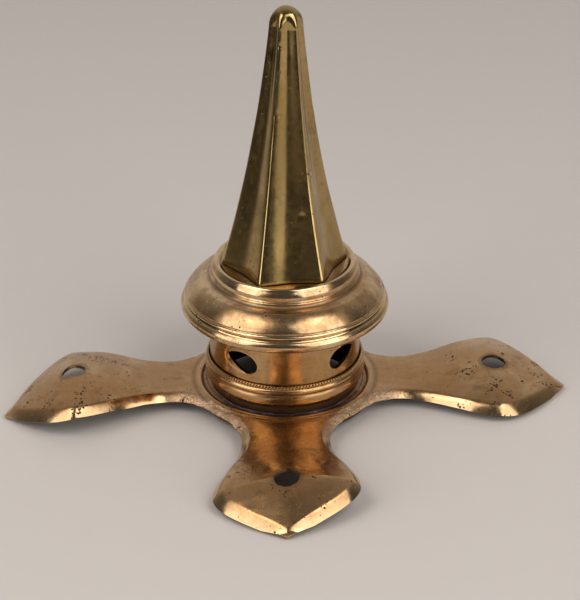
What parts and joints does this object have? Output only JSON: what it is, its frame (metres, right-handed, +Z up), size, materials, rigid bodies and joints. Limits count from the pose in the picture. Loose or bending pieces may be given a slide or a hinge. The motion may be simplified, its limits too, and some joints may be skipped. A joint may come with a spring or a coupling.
{
  "type": "helmet spike mount",
  "caption": "Fluted sheet-brass spike screwed into a moulded collar on a perforated neck, soldered to a cruciform base with stud holes.",
  "frame": {"origin": "on the neck's axis, at the level on which the arms stand", "axes": "+Z up the spike, -Y along the front arm, +X along the right arm"},
  "size_m": [0.1403, 0.1354, 0.1037],
  "materials": {
    "spike_brass": "polished, aged olive yellow brass with fine scratches",
    "ferrule_brass": "turned brass",
    "tombac": "polished red brass with small pits",
    "solder": "dull dark tin and lead solder",
    "base_tombac": "worn red brass, pitted and bruised, bright on its turned-down edges"
  },
  "bodies": {
    "mount": {"collar_shell": "tombac", "collar_dish": "tombac", "threaded_bush": "ferrule_brass", "neck_tube": "tombac", "foot_ring": "tombac", "solder_ring": "solder", "base_cross": "base_tombac"},
    "thread": {"spike_ferrule": "ferrule_brass"},
    "spike": {"spike_shell": "spike_brass"}
  },
  "joints": [
    {"name": "spike_rise", "type": "slide", "parent": "mount", "child": "thread", "axis": [0, 0, 1], "range_m": [0, 0.006]},
    {"name": "spike_turn", "type": "hinge", "parent": "thread", "child": "spike", "pos_m": [0, 0, 0.038], "axis": [0, 0, 1], "range_deg": [0, 2160]}
  ],
  "couplings": [
    {"joint": "spike_turn", "follows": "spike_rise", "rad_per_m": 6283.2}
  ]
}
